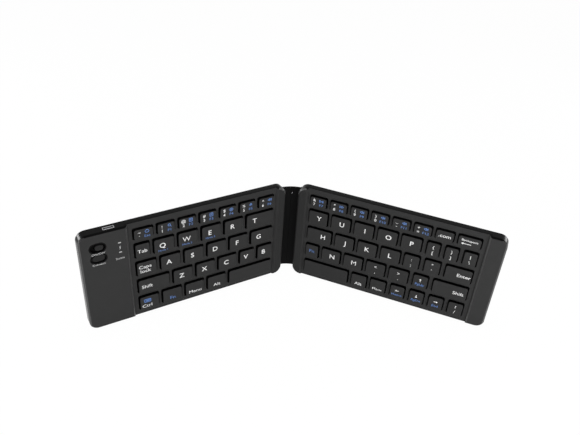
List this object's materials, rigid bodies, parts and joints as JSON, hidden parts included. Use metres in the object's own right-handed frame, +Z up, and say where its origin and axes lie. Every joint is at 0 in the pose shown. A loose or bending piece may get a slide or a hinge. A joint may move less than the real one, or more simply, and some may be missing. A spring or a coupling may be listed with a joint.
{
  "type": "folding keyboard",
  "caption": "Pocket keyboard whose hard-shelled halves of low island keys fold face to face about a leather strap, with a power slide, a pairing button and a charging socket.",
  "frame": {"origin": "middle of the bottom of the whole keyboard, standing half open on its long space-bar edges as in the picture", "axes": "+Z up along the creases of the strap, +X along the length from the left half to the right half, keys facing -Y"},
  "size_m": [0.2956, 0.073, 0.0827],
  "materials": {
    "frame_plastic": "fine matt moulding texture",
    "tray_plastic": "polished black",
    "key_plastic": "fine matt moulding texture",
    "leather": "smooth black grain",
    "plate_metal": "rolled sheet",
    "sheet_rubber": "moulded silicone",
    "feet_rubber": "matt",
    "steel": "plated",
    "screw_steel": "black plated",
    "magnet_plating": "nickel plated",
    "board": "solder mask",
    "cell_foil": "foil pouch",
    "ribbon": "polyimide film",
    "control_plastic": "satin",
    "light_window": "milky light guide"
  },
  "bodies": {
    "strap": {"hinge_strap": "leather", "flex_cable": "ribbon"},
    "left_half": {"left_top_frame": "frame_plastic", "left_bottom_tray": "tray_plastic", "left_support_plate": "plate_metal", "left_dome_sheet": "sheet_rubber", "left_screws": "screw_steel", "left_feet": "feet_rubber", "left_magnets": "magnet_plating", "left_strap_tab": "leather", "circuit_board": "board", "battery": "cell_foil", "usb_socket": "steel", "status_lights": "light_window"},
    "right_half": {"right_top_frame": "frame_plastic", "right_bottom_tray": "tray_plastic", "right_support_plate": "plate_metal", "right_dome_sheet": "sheet_rubber", "right_screws": "screw_steel", "right_feet": "feet_rubber", "right_magnets": "magnet_plating", "right_strap_tab": "leather"},
    "power_slider": {"power_slider": "control_plastic"},
    "connect_button": {"connect_button": "control_plastic"},
    "left_number_keys": {"left_number_keys": "key_plastic"},
    "left_side_keys": {"left_side_keys": "key_plastic"},
    "left_shift_key": {"left_shift_key": "key_plastic"},
    "left_space_key": {"left_space_key": "key_plastic"},
    "key_q": {"key_q": "key_plastic"},
    "key_w": {"key_w": "key_plastic"},
    "key_e": {"key_e": "key_plastic"},
    "key_r": {"key_r": "key_plastic"},
    "key_t": {"key_t": "key_plastic"},
    "key_a": {"key_a": "key_plastic"},
    "key_s": {"key_s": "key_plastic"},
    "key_d": {"key_d": "key_plastic"},
    "key_f": {"key_f": "key_plastic"},
    "key_g": {"key_g": "key_plastic"},
    "key_z": {"key_z": "key_plastic"},
    "key_x": {"key_x": "key_plastic"},
    "key_c": {"key_c": "key_plastic"},
    "key_v": {"key_v": "key_plastic"},
    "key_b": {"key_b": "key_plastic"},
    "right_number_keys": {"right_number_keys": "key_plastic"},
    "right_side_keys": {"right_side_keys": "key_plastic"},
    "right_shift_key": {"right_shift_key": "key_plastic"},
    "right_space_key": {"right_space_key": "key_plastic"},
    "backspace_key": {"backspace_key": "key_plastic"},
    "enter_key": {"enter_key": "key_plastic"},
    "key_y": {"key_y": "key_plastic"},
    "key_u": {"key_u": "key_plastic"},
    "key_i": {"key_i": "key_plastic"},
    "key_o": {"key_o": "key_plastic"},
    "key_p": {"key_p": "key_plastic"},
    "key_h": {"key_h": "key_plastic"},
    "key_j": {"key_j": "key_plastic"},
    "key_k": {"key_k": "key_plastic"},
    "key_l": {"key_l": "key_plastic"},
    "key_n": {"key_n": "key_plastic"},
    "key_m": {"key_m": "key_plastic"}
  },
  "joints": [
    {"name": "left_fold", "type": "hinge", "parent": "strap", "child": "left_half", "pos_m": [-0.00608, 0.03508, 0.04135], "axis": [0, 0, 1], "range_deg": [-25.35, 64.65]},
    {"name": "right_fold", "type": "hinge", "parent": "strap", "child": "right_half", "pos_m": [0.00608, 0.03508, 0.04135], "axis": [0, 0, -1], "range_deg": [-25.35, 64.65]},
    {"name": "power_slide", "type": "slide", "parent": "left_half", "child": "power_slider", "axis": [-0.9037, -0.4282, 0], "range_m": [0, 0.002]},
    {"name": "connect_press", "type": "slide", "parent": "left_half", "child": "connect_button", "axis": [-0.4282, 0.9037, 0], "range_m": [0, 0.0005], "stiffness_N_per_m": 1500},
    {"name": "left_number_keys_press", "type": "slide", "parent": "left_half", "child": "left_number_keys", "axis": [-0.4282, 0.9037, 0], "range_m": [0, 0.0013], "stiffness_N_per_m": 2800},
    {"name": "left_side_keys_press", "type": "slide", "parent": "left_half", "child": "left_side_keys", "axis": [-0.4282, 0.9037, 0], "range_m": [0, 0.0013], "stiffness_N_per_m": 2400},
    {"name": "left_shift_key_press", "type": "slide", "parent": "left_half", "child": "left_shift_key", "axis": [-0.4282, 0.9037, 0], "range_m": [0, 0.0013], "stiffness_N_per_m": 400},
    {"name": "left_space_key_press", "type": "slide", "parent": "left_half", "child": "left_space_key", "axis": [-0.4282, 0.9037, 0], "range_m": [0, 0.0013], "stiffness_N_per_m": 400},
    {"name": "key_q_press", "type": "slide", "parent": "left_half", "child": "key_q", "axis": [-0.4282, 0.9037, 0], "range_m": [0, 0.0013], "stiffness_N_per_m": 400},
    {"name": "key_w_press", "type": "slide", "parent": "left_half", "child": "key_w", "axis": [-0.4282, 0.9037, 0], "range_m": [0, 0.0013], "stiffness_N_per_m": 400},
    {"name": "key_e_press", "type": "slide", "parent": "left_half", "child": "key_e", "axis": [-0.4282, 0.9037, 0], "range_m": [0, 0.0013], "stiffness_N_per_m": 400},
    {"name": "key_r_press", "type": "slide", "parent": "left_half", "child": "key_r", "axis": [-0.4282, 0.9037, 0], "range_m": [0, 0.0013], "stiffness_N_per_m": 400},
    {"name": "key_t_press", "type": "slide", "parent": "left_half", "child": "key_t", "axis": [-0.4282, 0.9037, 0], "range_m": [0, 0.0013], "stiffness_N_per_m": 400},
    {"name": "key_a_press", "type": "slide", "parent": "left_half", "child": "key_a", "axis": [-0.4282, 0.9037, 0], "range_m": [0, 0.0013], "stiffness_N_per_m": 400},
    {"name": "key_s_press", "type": "slide", "parent": "left_half", "child": "key_s", "axis": [-0.4282, 0.9037, 0], "range_m": [0, 0.0013], "stiffness_N_per_m": 400},
    {"name": "key_d_press", "type": "slide", "parent": "left_half", "child": "key_d", "axis": [-0.4282, 0.9037, 0], "range_m": [0, 0.0013], "stiffness_N_per_m": 400},
    {"name": "key_f_press", "type": "slide", "parent": "left_half", "child": "key_f", "axis": [-0.4282, 0.9037, 0], "range_m": [0, 0.0013], "stiffness_N_per_m": 400},
    {"name": "key_g_press", "type": "slide", "parent": "left_half", "child": "key_g", "axis": [-0.4282, 0.9037, 0], "range_m": [0, 0.0013], "stiffness_N_per_m": 400},
    {"name": "key_z_press", "type": "slide", "parent": "left_half", "child": "key_z", "axis": [-0.4282, 0.9037, 0], "range_m": [0, 0.0013], "stiffness_N_per_m": 400},
    {"name": "key_x_press", "type": "slide", "parent": "left_half", "child": "key_x", "axis": [-0.4282, 0.9037, 0], "range_m": [0, 0.0013], "stiffness_N_per_m": 400},
    {"name": "key_c_press", "type": "slide", "parent": "left_half", "child": "key_c", "axis": [-0.4282, 0.9037, 0], "range_m": [0, 0.0013], "stiffness_N_per_m": 400},
    {"name": "key_v_press", "type": "slide", "parent": "left_half", "child": "key_v", "axis": [-0.4282, 0.9037, 0], "range_m": [0, 0.0013], "stiffness_N_per_m": 400},
    {"name": "key_b_press", "type": "slide", "parent": "left_half", "child": "key_b", "axis": [-0.4282, 0.9037, 0], "range_m": [0, 0.0013], "stiffness_N_per_m": 400},
    {"name": "right_number_keys_press", "type": "slide", "parent": "right_half", "child": "right_number_keys", "axis": [0.4282, 0.9037, 0], "range_m": [0, 0.0013], "stiffness_N_per_m": 2800},
    {"name": "right_side_keys_press", "type": "slide", "parent": "right_half", "child": "right_side_keys", "axis": [0.4282, 0.9037, 0], "range_m": [0, 0.0013], "stiffness_N_per_m": 6000},
    {"name": "right_shift_key_press", "type": "slide", "parent": "right_half", "child": "right_shift_key", "axis": [0.4282, 0.9037, 0], "range_m": [0, 0.0013], "stiffness_N_per_m": 400},
    {"name": "right_space_key_press", "type": "slide", "parent": "right_half", "child": "right_space_key", "axis": [0.4282, 0.9037, 0], "range_m": [0, 0.0013], "stiffness_N_per_m": 400},
    {"name": "backspace_key_press", "type": "slide", "parent": "right_half", "child": "backspace_key", "axis": [0.4282, 0.9037, 0], "range_m": [0, 0.0013], "stiffness_N_per_m": 400},
    {"name": "enter_key_press", "type": "slide", "parent": "right_half", "child": "enter_key", "axis": [0.4282, 0.9037, 0], "range_m": [0, 0.0013], "stiffness_N_per_m": 400},
    {"name": "key_y_press", "type": "slide", "parent": "right_half", "child": "key_y", "axis": [0.4282, 0.9037, 0], "range_m": [0, 0.0013], "stiffness_N_per_m": 400},
    {"name": "key_u_press", "type": "slide", "parent": "right_half", "child": "key_u", "axis": [0.4282, 0.9037, 0], "range_m": [0, 0.0013], "stiffness_N_per_m": 400},
    {"name": "key_i_press", "type": "slide", "parent": "right_half", "child": "key_i", "axis": [0.4282, 0.9037, 0], "range_m": [0, 0.0013], "stiffness_N_per_m": 400},
    {"name": "key_o_press", "type": "slide", "parent": "right_half", "child": "key_o", "axis": [0.4282, 0.9037, 0], "range_m": [0, 0.0013], "stiffness_N_per_m": 400},
    {"name": "key_p_press", "type": "slide", "parent": "right_half", "child": "key_p", "axis": [0.4282, 0.9037, 0], "range_m": [0, 0.0013], "stiffness_N_per_m": 400},
    {"name": "key_h_press", "type": "slide", "parent": "right_half", "child": "key_h", "axis": [0.4282, 0.9037, 0], "range_m": [0, 0.0013], "stiffness_N_per_m": 400},
    {"name": "key_j_press", "type": "slide", "parent": "right_half", "child": "key_j", "axis": [0.4282, 0.9037, 0], "range_m": [0, 0.0013], "stiffness_N_per_m": 400},
    {"name": "key_k_press", "type": "slide", "parent": "right_half", "child": "key_k", "axis": [0.4282, 0.9037, 0], "range_m": [0, 0.0013], "stiffness_N_per_m": 400},
    {"name": "key_l_press", "type": "slide", "parent": "right_half", "child": "key_l", "axis": [0.4282, 0.9037, 0], "range_m": [0, 0.0013], "stiffness_N_per_m": 400},
    {"name": "key_n_press", "type": "slide", "parent": "right_half", "child": "key_n", "axis": [0.4282, 0.9037, 0], "range_m": [0, 0.0013], "stiffness_N_per_m": 400},
    {"name": "key_m_press", "type": "slide", "parent": "right_half", "child": "key_m", "axis": [0.4282, 0.9037, 0], "range_m": [0, 0.0013], "stiffness_N_per_m": 400}
  ],
  "couplings": [
    {"joint": "right_fold", "follows": "left_fold", "ratio": 1}
  ]
}
